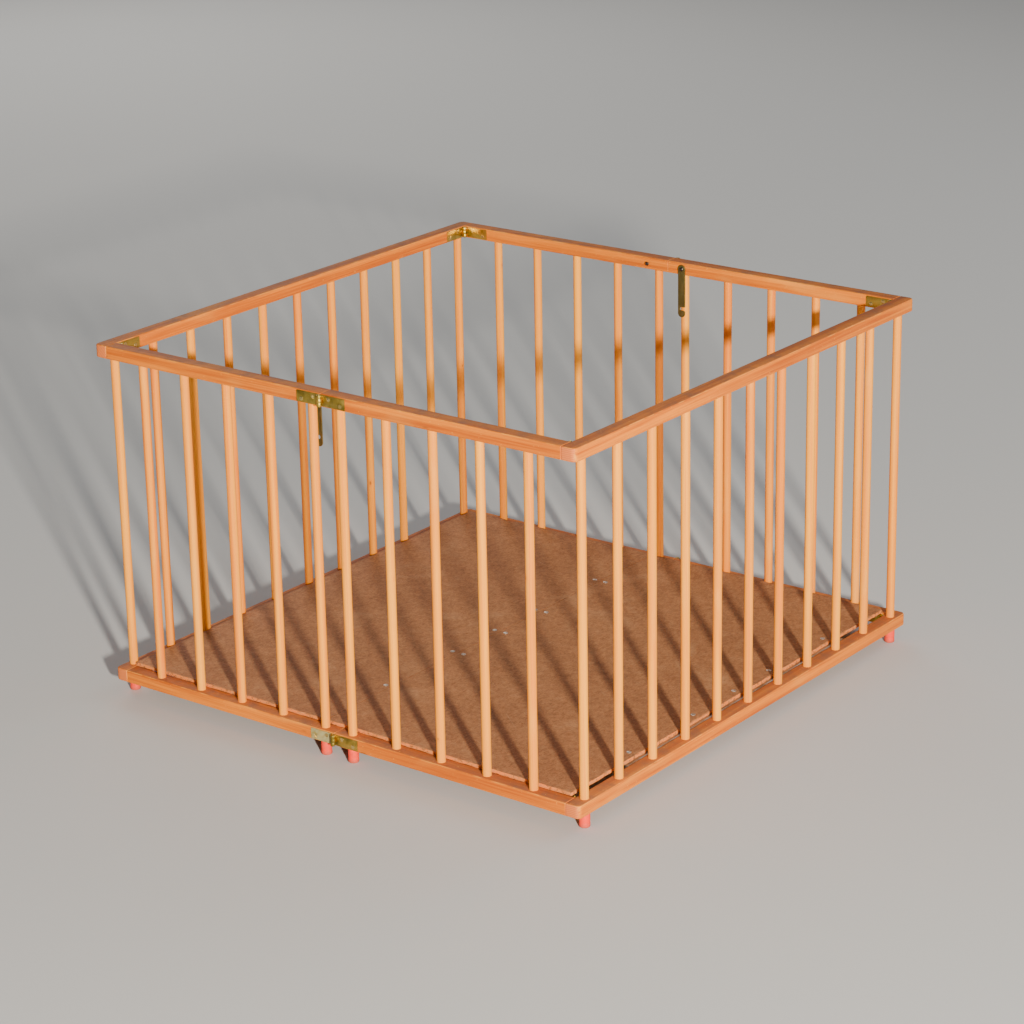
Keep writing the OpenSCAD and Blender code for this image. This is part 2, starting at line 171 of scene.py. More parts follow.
class PlaypenFittings(bpy.types.PropertyGroup):
    """Sizes and finish of the hinges, the screws, the hooks and the feet"""

    leaf_length: length("Leaf length", "Length of a hinge leaf from its pin", 0.050, 0.046, 0.054)
    leaf_height: length("Leaf height", "Height of a hinge leaf", 0.019, 0.017, 0.019)
    leaf_thickness: length("Leaf thickness", "Thickness of a hinge leaf", 0.0016, 0.0012, 0.0018)
    knuckle_radius: length("Knuckle radius", "Radius of a rolled knuckle", 0.0045, 0.004, 0.0048)
    screw_radius: length("Screw head radius", "Radius of a countersunk screw head", 0.0037, 0.003, 0.0038)
    slot_width: length("Slot width", "Width of a screw's slot", 0.0009, 0.0005, 0.0012)
    hook_width: length("Hook width", "Width of a hook", 0.015, 0.013, 0.016)
    notch_width: length("Notch width", "Width of the notch that takes the catch", 0.0066, 0.005, 0.008)
    brass: colour("Brass", "Clean brass", (0.76, 0.52, 0.09))
    patina: colour("Patina", "Aged brass", (0.155, 0.120, 0.018))
    bronze: colour("Hook metal", "Dark plated steel of the hooks", (0.165, 0.150, 0.050))
    bronze_worn: colour("Worn hook metal", "Where the hooks' plating has rubbed brown", (0.28, 0.215, 0.070))
    steel: colour("Dark steel", "Hook pivots and catches", (0.14, 0.125, 0.105))
    rivet: colour("Rivet steel", "Rivets of the floor", (0.66, 0.60, 0.52))
    rubber: colour("Rubber", "Feet", (0.96, 0.052, 0.018))


class PlaypenStage(bpy.types.PropertyGroup):
    """Floor, light and camera"""

    paper: colour("Paper", "Colour of the studio floor", (0.62, 0.62, 0.61))
    key_power: power("Key power", "Strength of the large main light", 1230)
    fill_power: power("Fill power", "Strength of the soft light opposite", 70)
    back_power: power("Back power", "Strength of the soft light behind", 130)
    ambient: FloatProperty(
        name="Ambient", description="Strength of the even light from all sides", default=0.17, min=0, max=3,
    )
    lens: FloatProperty(
        name="Lens", description="Focal length", default=106.3, min=20, max=300, unit="CAMERA",
    )


# ---- node trees --------------------------------------------------------------


def arithmetic(operation, reflected=False):
    """An operator method that adds one Math node."""

    def method(self, other):
        pair = (other, self) if reflected else (self, other)
        return self.nodes.math(operation, *pair)

    return method


class Value:
    """A socket that takes part in Python arithmetic by adding Math nodes."""

    def __init__(self, nodes, socket):
        self.nodes, self.socket = nodes, socket

    __add__, __radd__ = arithmetic("ADD"), arithmetic("ADD", reflected=True)
    __sub__, __rsub__ = arithmetic("SUBTRACT"), arithmetic("SUBTRACT", reflected=True)
    __mul__, __rmul__ = arithmetic("MULTIPLY"), arithmetic("MULTIPLY", reflected=True)
    __truediv__, __pow__ = arithmetic("DIVIDE"), arithmetic("POWER")
    __gt__, __lt__ = arithmetic("GREATER_THAN"), arithmetic("LESS_THAN")
    maximum, minimum = arithmetic("MAXIMUM"), arithmetic("MINIMUM")

    def __neg__(self):
        return self * -1

    def __abs__(self):
        return self.nodes.math("ABSOLUTE", self)

    def sine(self):
        return self.nodes.math("SINE", self)

    def clamp(self):
        return self.maximum(0).minimum(1)

    def ramp(self, low, high):
        """0 at low and 1 at high, smooth in between; low may be the greater of the two."""
        flip = low > high
        start, stop = (high, low) if flip else (low, high)
        return self.nodes.add(
            "ShaderNodeMapRange",
            {"interpolation_type": "SMOOTHSTEP"},
            {"Value": self, "From Min": start, "From Max": stop, "To Min": float(flip), "To Max": 1.0 - flip},
        )


class Nodes:
    """A node tree, and the one way that its nodes are added."""

    def __init__(self, tree):
        self.tree = tree

    def add(self, kind, settings=None, inputs=None, out=0):
        node = self.tree.nodes.new(kind)
        for name, value in (settings or {}).items():
            setattr(node, name, value)
        for name, value in (inputs or {}).items():
            socket = node.inputs[name]
            if isinstance(value, Value):
                self.tree.links.new(value.socket, socket)
            else:
                socket.default_value = value
        return Value(self, node.outputs[out])

    def math(self, operation, *values):
        return self.add("ShaderNodeMath", {"operation": operation}, dict(enumerate(values)))

    def vector_math(self, operation, a, b):
        return self.add("ShaderNodeVectorMath", {"operation": operation}, {0: a, 1: b})

    def join(self, x, y, z):
        return self.add("ShaderNodeCombineXYZ", {}, {0: x, 1: y, 2: z})

    def random(self, high, seed):
        """A number from 0 to high for each point, in Geometry Nodes."""
        inputs = {2: 0.0, 3: high, "Seed": seed}
        return self.add("FunctionNodeRandomValue", {"data_type": "FLOAT"}, inputs, out=1)

    def named(self, name, kind="FLOAT"):
        """A mesh or point attribute, in Geometry Nodes."""
        return self.add("GeometryNodeInputNamedAttribute", {"data_type": kind}, {"Name": name})

    def mix(self, factor, a, b):
        """Colour a where factor is 0 and b where it is 1."""
        a, b = (c if isinstance(c, Value) else (*tuple(c)[:3], 1) for c in (a, b))
        return self.add("ShaderNodeMix", {"data_type": "RGBA"}, {0: factor, 6: a, 7: b}, out=2)

    def coats(self, tone, *layers):
        """Lay colours over a tone, each with its own factor."""
        for factor, colour in layers:
            tone = self.mix(factor, tone, colour)
        return tone

    def split(self, vector):
        node = self.tree.nodes.new("ShaderNodeSeparateXYZ")
        self.tree.links.new(vector.socket, node.inputs[0])
        return [Value(self, node.outputs[i]) for i in range(3)]

    def place(self):
        """The point's place on the object."""
        return self.add("ShaderNodeTexCoord", out="Object")

    def facing(self):
        """The x, y and z of the way that the surface faces on its own object."""
        return self.split(self.add("ShaderNodeTexCoord", out="Normal"))

    def stretch(self, vector, scale):
        return self.add("ShaderNodeMapping", {}, {"Vector": vector, "Scale": scale})

    def noise(self, vector, scale, detail, rough=0.5, distort=0.0):
        """Noise of one scale, or of a scale for each axis."""
        if isinstance(scale, tuple):
            vector, scale = self.stretch(vector, scale), 1.0
        return self.add(
            "ShaderNodeTexNoise", {},
            {"Vector": vector, "Scale": scale, "Detail": detail, "Roughness": rough, "Distortion": distort},
        )

    def cells(self, vector, scale):
        """Distance to the nearest of some scattered points."""
        inputs = {"Vector": self.stretch(vector, scale), "Scale": 1.0, "Randomness": 1.0}
        return self.add("ShaderNodeTexVoronoi", {}, inputs, out="Distance")

    def bump(self, height, distance, strength):
        return self.add("ShaderNodeBump", {}, {"Height": height, "Distance": distance, "Strength": strength})


def material(name):
    """A new material, its nodes and a function that finishes it."""
    made = bpy.data.materials.new(name)
    made.use_nodes = True
    made.node_tree.nodes.clear()
    nodes = Nodes(made.node_tree)

    def finish(**sockets):
        shader = made.node_tree.nodes.new("ShaderNodeBsdfPrincipled")
        for key, value in sockets.items():
            socket = shader.inputs[key.replace("_", " ")]
            if isinstance(value, Value):
                made.node_tree.links.new(value.socket, socket)
            else:
                socket.default_value = value
        end = made.node_tree.nodes.new("ShaderNodeOutputMaterial")
        made.node_tree.links.new(shader.outputs[0], end.inputs[0])
        return made

    return nodes, finish


def stretched(along, long_scale, cross_scale):
    """Scales that draw a pattern out along X, Y or Z."""
    scale = [cross_scale] * 3
    scale["XYZ".index(along)] = long_scale
    return tuple(scale)


# ---- materials ---------------------------------------------------------------

HEART_X_RAILS = (0.0, 0.4845, 0.0)
HEART_Y_RAILS = (0.4865, 0.0, 0.31)
HAZE = (0.44, 0.40, 0.20)
# Screw heads: brass, painted lighter than the leaves as a painted glint.
SCREW_BRASS_AND_GLINT = (0.84, 0.64, 0.24)
BLACKENED = (0.05, 0.045, 0.04)
TARNISHED = (0.16, 0.125, 0.10)
STRIP_STEEL = (0.46, 0.43, 0.36)
STRIP_RUST = (0.24, 0.19, 0.12)


def rail_wood(name, along, shift):
    """Varnished softwood rail: straight grain along one axis, worn edges, dust and painted shade on top."""
    look = bpy.context.scene.playpen_wood
    n, finish = material(name)
    place = n.vector_math("ADD", n.place(), shift)
    nx, ny, nz = n.facing()

    bands = n.noise(place, stretched(along, 2.2, 85), detail=2, rough=0.55, distort=0.4)
    streaks = n.noise(place, stretched(along, 7, 420), detail=3, rough=0.6)
    fibres = n.noise(place, stretched(along, 55, 1900), detail=2, rough=0.7)
    patches = n.noise(place, stretched(along, 6, 22), detail=3)

    tone = (bands.ramp(0.36, 0.66) * 0.62 + streaks.ramp(0.34, 0.68) * 0.38).clamp()
    knots = n.cells(place, stretched(along, 8, 26)).ramp(0.085, 0.03)
    wood = n.coats(
        look.rail_dark, (tone, look.rail_light), (streaks.ramp(0.66, 0.74) * 0.55, look.rail_dark),
        (fibres.ramp(0.60, 0.75) * 0.32, look.knot), (patches.ramp(0.52, 0.74) * 0.30, look.bare),
        (knots * 0.75, look.knot),
    )

    end = abs(nx if along == "X" else ny).ramp(0.62, 0.86)
    x, y, z = n.split(place)
    across = y if along == "X" else x
    heart = ((across * across + (z + 0.011) * (z + 0.011)) ** 0.5) * 2100
    rings = (heart + patches * 4).sine() * 0.5 + 0.5
    wood = n.mix(end, wood, n.mix(rings * 0.55, look.end_grain, look.rail_dark))

    edge = (1 - abs(nx).maximum(abs(ny).maximum(abs(nz)))).ramp(0.03, 0.24)
    rub = n.noise(place, stretched(along, 26, 80), detail=4, rough=0.65)
    worn = (edge * rub.ramp(0.44, 0.62) * 0.62).clamp()
    wood = n.mix(worn, wood, look.bare)
    nicks = n.noise(place, scale=190, detail=2)
    chips = (edge * nicks.ramp(0.70, 0.76)).clamp()
    wood = n.mix(chips * 0.9, wood, look.bare)

    # Dust colour on the faces that look up: real dust, and painted shade that darkens the rails' tops.
    top_dust_and_shade = nz.ramp(0.75, 0.97)
    dust_and_shade_patches = n.noise(place, scale=34, detail=5, rough=0.65)
    wood = n.mix(top_dust_and_shade * (0.34 + dust_and_shade_patches.ramp(0.40, 0.70) * 0.40), wood, look.dust)
    marks = n.noise(place, (210, 210, 210), detail=1).ramp(0.72, 0.77)
    wood = n.mix(marks * 0.45, wood, look.bare)

    rough = (0.36 + streaks * 0.12 + top_dust_and_shade * 0.22 + worn * 0.2 + end * 0.1).clamp()
    relief = streaks * 0.5 + fibres * 0.35 - chips * 1.6 - knots * 0.4 + rub * 0.25
    return finish(
        Base_Color=wood, Roughness=rough, Coat_Weight=(0.10 - top_dust_and_shade * 0.14 - worn * 0.1).clamp(),
        Coat_Roughness=0.28, Specular_IOR_Level=0.14, Normal=n.bump(relief, 0.00022, 0.8),
    )


def bar_wood():
    """Paler varnished dowels: grain along Z, a tone for each bar, small dark knots."""
    look = bpy.context.scene.playpen_wood
    n, finish = material("bar_wood")
    tone_of_bar = n.add("ShaderNodeAttribute", {"attribute_name": "bar_tone"}, out="Fac")
    offset = n.join(tone_of_bar * 3.1, tone_of_bar * 5.7, tone_of_bar * 9.3)
    place = n.vector_math("ADD", n.place(), offset)

    bands = n.noise(place, (120, 120, 2.4), detail=2, rough=0.5, distort=0.6)
    streaks = n.noise(place, (560, 560, 8), detail=3, rough=0.6)
    fibres = n.noise(place, (2300, 2300, 60), detail=2, rough=0.7)
    patches = n.noise(place, (40, 40, 9), detail=3)

    grain = bands.ramp(0.34, 0.66) * 0.5 + streaks.ramp(0.34, 0.68) * 0.25
    tone = (grain + (tone_of_bar - 0.5) * 0.55 + 0.15).clamp()
    cell = n.cells(place, (46, 46, 24))
    rare = n.noise(place, scale=11, detail=1).ramp(0.60, 0.64)
    knots, halo = cell.ramp(0.115, 0.05) * rare, cell.ramp(0.26, 0.10) * rare
    scuff = n.noise(place, (260, 260, 120), detail=2).ramp(0.70, 0.77)
    wood = n.coats(
        look.bar_dark, (tone, look.bar_light), (streaks.ramp(0.64, 0.76) * 0.35, look.bar_dark),
        (fibres.ramp(0.62, 0.78) * 0.22, look.knot), (patches.ramp(0.56, 0.76) * 0.35, look.bare),
        (knots * 0.85, look.knot), (halo * 0.4, look.bar_dark), (scuff * 0.5, look.bare),
    )

    relief = streaks * 0.5 + fibres * 0.3 - knots * 0.5 - scuff * 0.6
    return finish(
        Base_Color=wood, Roughness=(0.38 + streaks * 0.14 + scuff * 0.1).clamp(),
        Coat_Weight=(0.05 - patches * 0.05).clamp(), Coat_Roughness=0.3, Specular_IOR_Level=0.15,
        Normal=n.bump(relief, 0.00018, 0.8),
    )


def floor_board():
    """Hardboard: pressed fibres, blotches, scuffs and scratches, paler cut edges, painted shade at the seam."""
    look = bpy.context.scene.playpen_floor
    wood = bpy.context.scene.playpen_wood
    n, finish = material("floor_board")
    place = n.place()
    _, _, nz = n.facing()
    fine = n.noise(place, scale=480, detail=3, rough=0.75)
    fibres = n.noise(place, (110, 420, 400), detail=3, rough=0.7, distort=0.8)
    clouds = n.noise(place, scale=9, detail=5, rough=0.62, distort=0.5)
    stains = n.noise(place, scale=2.6, detail=3, rough=0.5, distort=0.8)
    grain = n.noise(place, scale=120, detail=4, rough=0.72, distort=0.6)

    tone = (
        fine.ramp(0.32, 0.68) * 0.24 + fibres.ramp(0.34, 0.66) * 0.30
        + grain.ramp(0.38, 0.62) * 0.30 + clouds.ramp(0.30, 0.70) * 0.16
    ).clamp()
    flecks = n.noise(place, (140, 330, 300), detail=2, rough=0.7).ramp(0.58, 0.72)

    def lines(turn, stretch, low, high, shift):
        turned = n.add(
            "ShaderNodeMapping", {},
            {"Vector": place, "Rotation": (0, 0, turn), "Location": (shift, shift, 0)},
        )
        drawn = n.noise(turned, stretch, detail=1, rough=0.4, distort=0.3)
        gate = n.noise(turned, scale=16, detail=2).ramp(0.54, 0.66)
        return drawn.ramp(low, high) * gate

    scratches = (
        lines(0.35, (7, 520, 60), 0.675, 0.70, 0.2)
        + lines(-0.9, (9, 640, 60), 0.685, 0.71, 1.3)
        + lines(1.9, (12, 460, 60), 0.69, 0.715, 2.1)
    ).clamp()
    specks = n.noise(place, scale=170, detail=1).ramp(0.735, 0.77)
    dust = n.noise(place, scale=48, detail=4, rough=0.7).ramp(0.55, 0.75) * nz.ramp(0.7, 0.95)
    board = n.coats(
        look.board_dark, (tone, look.board_light), (flecks * 0.45, look.board_dark),
        (stains.ramp(0.55, 0.72) * 0.28, look.board_dark), (clouds.ramp(0.56, 0.74) * 0.22, look.scratch),
        (scratches * 0.20, look.scratch), (specks * 0.6, wood.knot), (dust * 0.16, look.scratch),
    )

    side = abs(nz).ramp(0.97, 0.60)
    # The cut edges at the seam between the boards are darkened: painted shade in the seam.
    seam_shade = abs(n.split(place)[1] - SEAM_Y).ramp(0.009, 0.006)
    layers = n.noise(place, (180, 180, 1500), detail=3, rough=0.7)
    torn = n.noise(place, scale=170, detail=4, rough=0.7).ramp(0.52, 0.62)
    edge = n.coats(
        look.board_light, (layers.ramp(0.38, 0.60), look.board_edge),
        (torn * 0.8, look.board_dark), (seam_shade * 0.7, look.board_dark),
    )
    board = n.mix(side, board, edge)

    relief = fine * 0.4 + fibres * 0.5 - scratches * 0.9 + (layers - torn) * side * 1.4
    return finish(
        Base_Color=board, Roughness=(0.56 + fine * 0.14 + side * 0.2 - scratches * 0.08).clamp(),
        Specular_IOR_Level=0.10, Normal=n.bump(relief, 0.00022, 0.8),
    )


def metal(name, clean, aged, ageing, gloss, dust=0.0, low_dust=0.0):
    """Metal with aged patches, fine brushing and a little dust, more of it low down behind."""
    wood = bpy.context.scene.playpen_wood
    n, finish = material(name)
    place = n.place()
    cloud = n.noise(place, scale=48, detail=3, rough=0.5, distort=0.2)
    grain = n.noise(place, (900, 900, 160), detail=3, rough=0.6)
    pits = n.noise(place, scale=900, detail=2).ramp(0.60, 0.72)
    scratches = n.noise(place, (1400, 1400, 90), detail=1).ramp(0.66, 0.72)
    aged_mask = cloud.ramp(0.62 - ageing * 0.42, 0.80 - ageing * 0.05) * (0.45 + ageing * 0.45)
    aged_mask = (aged_mask + grain * 0.22).clamp()
    _, y, z = n.split(place)
    speckle = n.noise(place, scale=140, detail=4)
    haze = speckle.ramp(0.42, 0.70) * dust
    low_behind = low_dust * z.ramp(0.10, 0.05) * y.ramp(0.004, 0.008)
    haze = (haze + low_behind * speckle.ramp(0.20, 0.55)).clamp()
    tone = n.coats(clean, (aged_mask, aged), (pits * 0.35, wood.knot), (scratches * 0.4, clean), (haze, HAZE))
    return finish(
        Base_Color=tone, Metallic=(1 - haze * 0.8 - pits * 0.25).clamp(),
        Roughness=(gloss + aged_mask * 0.22 + haze * 0.25 - scratches * 0.08).clamp(),
        Normal=n.bump(cloud * 0.5 - pits * 0.8 - scratches * 0.5 + grain * 0.2, 0.00010, 0.7),
    )


def foot_rubber():
    """Coral rubber with scuffed and dusty flanks."""
    look = bpy.context.scene.playpen_fittings
    wood = bpy.context.scene.playpen_wood
    n, finish = material("foot_rubber")
    place = n.place()
    _, _, z = n.split(place)
    cloud = n.noise(place, scale=160, detail=4, rough=0.6)
    grit = n.noise(place, scale=900, detail=2)
    low = z.ramp(0.010, 0.0005)
    dirt = (low * 0.55 + cloud.ramp(0.50, 0.72) * 0.25 * (0.4 + low)).clamp()
    tone = n.mix(cloud.ramp(0.35, 0.70) * 0.3, look.rubber, tuple(c * 0.72 for c in look.rubber))
    tone = n.mix(dirt, tone, wood.dust)
    return finish(
        Base_Color=tone, Roughness=(0.52 + dirt * 0.3 + grit * 0.1).clamp(), Specular_IOR_Level=0.4,
        Normal=n.bump(cloud * 0.5 + grit * 0.4, 0.00015, 0.7),
    )


MATERIALS = {}


def make_materials():
    look = bpy.context.scene.playpen_fittings
    MATERIALS.update(
        rail_x=rail_wood("rail_wood_x", "X", HEART_X_RAILS),
        rail_y=rail_wood("rail_wood_y", "Y", HEART_Y_RAILS),
        bars=bar_wood(),
        board=floor_board(),
        brass_corner=metal("brass_corner", look.brass, look.patina, 0.35, 0.30),
        brass_mid=metal("brass_mid", look.brass, look.patina, 0.85, 0.33, 0.10, 0.75),
        screw=metal("brass_screws", SCREW_BRASS_AND_GLINT, look.patina, 0.4, 0.22),
        hook=metal("hook_metal", look.bronze_worn, look.bronze, 0.75, 0.36, 0.08),
        steel=metal("dark_steel", look.steel, BLACKENED, 0.4, 0.26),
        rivet=metal("rivet_steel", look.rivet, TARNISHED, 0.35, 0.42),
        strip=metal("strip_steel", STRIP_STEEL, STRIP_RUST, 0.5, 0.38, 0.15),
        rubber=foot_rubber(),
    )


# ---- mesh helpers ------------------------------------------------------------


def new_piece(name, mesh_data, finish, sharp=None):
    """A smooth piece from a bmesh, its faces pointing out, sharp where they turn more than sharp degrees."""
    bmesh.ops.recalc_face_normals(mesh_data, faces=mesh_data.faces)
    mesh = bpy.data.meshes.new(name)
    mesh_data.to_mesh(mesh)
    mesh_data.free()
    if finish is not None:
        mesh.materials.append(finish)
        mesh.shade_smooth()
    if sharp is not None:
        mesh.set_sharp_from_angle(angle=math.radians(sharp))
    piece = bpy.data.objects.new(name, mesh)
    bpy.context.collection.objects.link(piece)
    return piece


def bake(piece, sharp=None):
    """Turn a piece's modifiers into its mesh."""
    bpy.context.view_layer.update()
    graph = bpy.context.evaluated_depsgraph_get()
    mesh = bpy.data.meshes.new_from_object(
        piece.evaluated_get(graph), preserve_all_data_layers=True, depsgraph=graph
    )
    old = piece.data
    piece.modifiers.clear()
    piece.data = mesh
    mesh.name = piece.name
    if old.users == 0:
        bpy.data.meshes.remove(old)
    if sharp is not None:
        mesh.shade_smooth()
        mesh.set_sharp_from_angle(angle=math.radians(sharp))
    return piece


def bevel(piece, width, segments, angle):
    made = piece.modifiers.new("Eased edges", "BEVEL")
    made.width, made.segments, made.angle_limit = width, segments, math.radians(angle)
    made.limit_method, made.harden_normals = "ANGLE", False


def stand_in(piece, body, slot, *nodes):
    """Carry a piece on its body, in the place of its CAD nodes."""
    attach(piece, body)
    if nodes:
        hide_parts(*nodes)


def arc(start, stop, step):
    """Angles in radians, from start up to and without stop, all given in degrees."""
    return [math.radians(d) for d in range(start, stop, step)]


def ring_faces(bm, rings, caps=False):
    """Skin a list of equal rings of vertices, and close its ends."""
    for a, b in zip(rings, rings[1:]):
        for i, vertex in enumerate(a):
            j = (i + 1) % len(a)
            bm.faces.new((vertex, a[j], b[j], b[i]))
    if caps:
        bm.faces.new(rings[0])
        bm.faces.new(rings[-1])


def lathe(bm, profile, centre, axis, steps=32):
    """Turn a closed profile of (radius, distance) about an axis; both its ends have radius 0."""
    turn = UP.rotation_difference(Vector(axis)).to_matrix()
    rings = []
    for radius, distance in profile:
        turns = [math.tau * i / steps for i in range(steps if radius else 1)]
        places = [(radius * math.cos(a), radius * math.sin(a)) for a in turns]
        rings.append([bm.verts.new(Vector(centre) + turn @ Vector((*place, distance))) for place in places])
    for a, b in zip(rings, rings[1:]):
        for i in range(steps):
            j = (i + 1) % steps
            if len(a) == 1:
                bm.faces.new((a[0], b[j], b[i]))
            elif len(b) == 1:
                bm.faces.new((a[i], a[j], b[0]))
            else:
                bm.faces.new((a[i], a[j], b[j], b[i]))


def rounded_outline(half_x, half_y, radii, inset, spacing=None):
    """Outline of a rectangle whose corners have their own radii, drawn in by inset."""
    steps, points = 6, []
    corners = ((1, -1, -90), (1, 1, 0), (-1, 1, 90), (-1, -1, 180))
    for (sx, sy, start), radius in zip(corners, radii):
        r = max(radius - inset, 0.0001)
        cx, cy = sx * (half_x - inset - r), sy * (half_y - inset - r)
        for i in range(steps + 1):
            a = math.radians(start + 90 * i / steps)
            points.append((cx + r * math.cos(a), cy + r * math.sin(a)))
    if not spacing:
        return points
    dense = []
    for a, b in zip(points, points[1:] + points[:1]):
        pieces = max(1, round(math.dist(a, b) / spacing))
        dense += [
            (a[0] + (b[0] - a[0]) * i / pieces, a[1] + (b[1] - a[1]) * i / pieces) for i in range(pieces)
        ]
    return dense


# ---- rails -------------------------------------------------------------------


def panel_rail_mesh(bm, low, high, outer_sign, ease, end_radius):
    """Rail of a one-piece panel: eased edges, outer corners rounded in plan."""
    centre = (low + high) / 2
    half_x, half_y, half_z = (high - low) / 2
    inner_radius, steps = 0.002, 5
    radii = (end_radius, inner_radius, inner_radius, end_radius)
    if outer_sign > 0:
        radii = (inner_radius, end_radius, end_radius, inner_radius)
    turns = [math.pi / 2 * i / steps for i in range(steps + 1)]
    levels = [(-half_z + ease * (1 - math.cos(a)), ease * (1 - math.sin(a))) for a in turns]
    levels += [(-z, inset) for z, inset in reversed(levels)]
    rings = [
        [bm.verts.new(centre + Vector((x, y, z))) for x, y in rounded_outline(half_x, half_y, radii, inset)]
        for z, inset in levels
    ]
    ring_faces(bm, rings, caps=True)


def half_rail_mesh(bm, low, high, ease):
    """Rail of a half side: eased long edges and sawn ends with a fine chamfer."""
    centre = (low + high) / 2
    half_x, half_y, half_z = (high - low) / 2
    chamfer = 0.0004
    ends = ((-half_y, chamfer), (-half_y + chamfer, 0), (half_y - chamfer, 0), (half_y, chamfer))
    rings = [
        [
            bm.verts.new(centre + Vector((x, y, z)))
            for x, z in rounded_outline(half_x, half_z, (ease,) * 4, inset)
        ]
        for y, inset in ends
    ]
    ring_faces(bm, rings, caps=True)


def hinge_places():
    """Every leaf: its owner, level, axis, the way it runs, the way it faces, its knuckles and its kind."""
    corner_x, corner_y = PANEL_PINS_HIGH.x - PIN_RADIUS, abs(PANEL_PINS_HIGH.y - PIN_RADIUS)
    panels = (("front", -1), ("rear", 1))
    for level in LEVELS:
        z = LEVEL_Z[level]
        for name, sx in SIDES:
            for panel, sy in panels:
                axis = Vector((sx * corner_x, sy * corner_y, z))
                inward_x, inward_y = Vector((-sx, 0, 0)), Vector((0, -sy, 0))
                yield panel, level, axis, inward_x, inward_y, True, "corner"
                yield f"{name}_{panel}", level, axis, inward_y, inward_x, False, "corner"
        for name, sx in SIDES:
            for panel, sy in panels:
                axis = Vector((-sx * MID_PINS.x, 0, z))
                run, face = Vector((0, sy, 0)), Vector((sx, 0, 0))
                yield f"{name}_{panel}", level, axis, run, face, panel == "front", "mid"


def cut_mortises(piece, owner, level):
    """Let the hinge leaves and their knuckles into a rail."""
    look = bpy.context.scene.playpen_fittings
    clearance, behind_pin = 0.0002, 0.006
    r, h = look.knuckle_radius, look.leaf_height / 2 + clearance
    far = look.leaf_length + clearance
    bm = bmesh.new()
    for body, at, axis, run, face, *_ in hinge_places():
        if body != owner or at != level:
            continue
        turn = Matrix((run, face, run.cross(face))).transposed()
        wall = [(-behind_pin, -r), (far, -r), (far, r), (-behind_pin, r)]
        low_ring = [bm.verts.new(axis + turn @ Vector((u, v, 0)) + DOWN * h) for u, v in wall]
        high_ring = [bm.verts.new(v.co + UP * 2 * h) for v in low_ring]
        ring_faces(bm, [low_ring, high_ring], caps=True)
    cutter = new_piece("cutter", bm, None)
    cut = piece.modifiers.new("Mortises", "BOOLEAN")
    cut.operation, cut.solver, cut.object = "DIFFERENCE", "EXACT", cutter
    bake(piece, sharp=32)
    bpy.data.objects.remove(cutter)


class PLAYPEN_OT_rails(bpy.types.Operator):
    """Build the rails of the panels and of the split sides"""

    bl_idname = "playpen.rails"
    bl_label = "Rails"

    def execute(self, context):
        look = context.scene.playpen_wood
        for owner in PANELS + HALVES:
            for level in LEVELS:
                node = f"{owner}_{level}_rail"
                low, high, _ = span(node)
                bm = bmesh.new()
                if owner in PANELS:
                    outer_sign = -1 if owner == "front" else 1
                    panel_rail_mesh(bm, low, high, outer_sign, look.edge_radius, look.end_radius)
                else:
                    half_rail_mesh(bm, low, high, look.edge_radius)
                piece = new_piece(node + "_wood", bm, MATERIALS["rail_x" if owner in PANELS else "rail_y"])
                cut_mortises(piece, owner, level)
                stand_in(piece, BODY[owner], "rail_wood", node)
        return {"FINISHED"}


# ---- bars, made by Geometry Nodes ----------------------------------------------


def new_tree(name, *inputs):
    """A Geometry Nodes tree, its helper and its inputs, each a name, a socket type and a default."""
    tree = bpy.data.node_groups.new(name, "GeometryNodeTree")
    for label, kind, default in inputs:
        socket = tree.interface.new_socket(name=label, in_out="INPUT", socket_type="NodeSocket" + kind)
        if default is not None:
            socket.default_value = default
    tree.interface.new_socket(name="Geometry", in_out="OUTPUT", socket_type="NodeSocketGeometry")
    nodes = Nodes(tree)
    group = tree.nodes.new("NodeGroupInput")
    return nodes, {socket.name: Value(nodes, socket) for socket in group.outputs if socket.name}


def end_tree(nodes, geometry, finish):
    """Realize the instances, set the material and send the result out."""
    geometry = nodes.add("GeometryNodeRealizeInstances", {}, {"Geometry": geometry})
    geometry = nodes.add("GeometryNodeSetMaterial", {}, {"Geometry": geometry, "Material": finish})
    end = nodes.tree.nodes.new("NodeGroupOutput")
    nodes.tree.links.new(geometry.socket, end.inputs[0])
    return nodes.tree


def grow(name, tree, inputs, base=None, sharp=None):
    """Run a Geometry Nodes tree on a new object and keep its mesh."""
    piece = bpy.data.objects.new(name, base or bpy.data.meshes.new(name))
    bpy.context.collection.objects.link(piece)
    made = piece.modifiers.new("Grown", "NODES")
    made.node_group = tree
    for item in tree.interface.items_tree:
        if item.item_type == "SOCKET" and item.in_out == "INPUT" and item.name in inputs:
            made[item.identifier] = inputs[item.name]
    bake(piece)
    if not piece.data.polygons:
        raise RuntimeError(f"{name} grew no faces")
    if sharp is not None:
        piece.data.set_sharp_from_angle(angle=math.radians(sharp))
    return piece


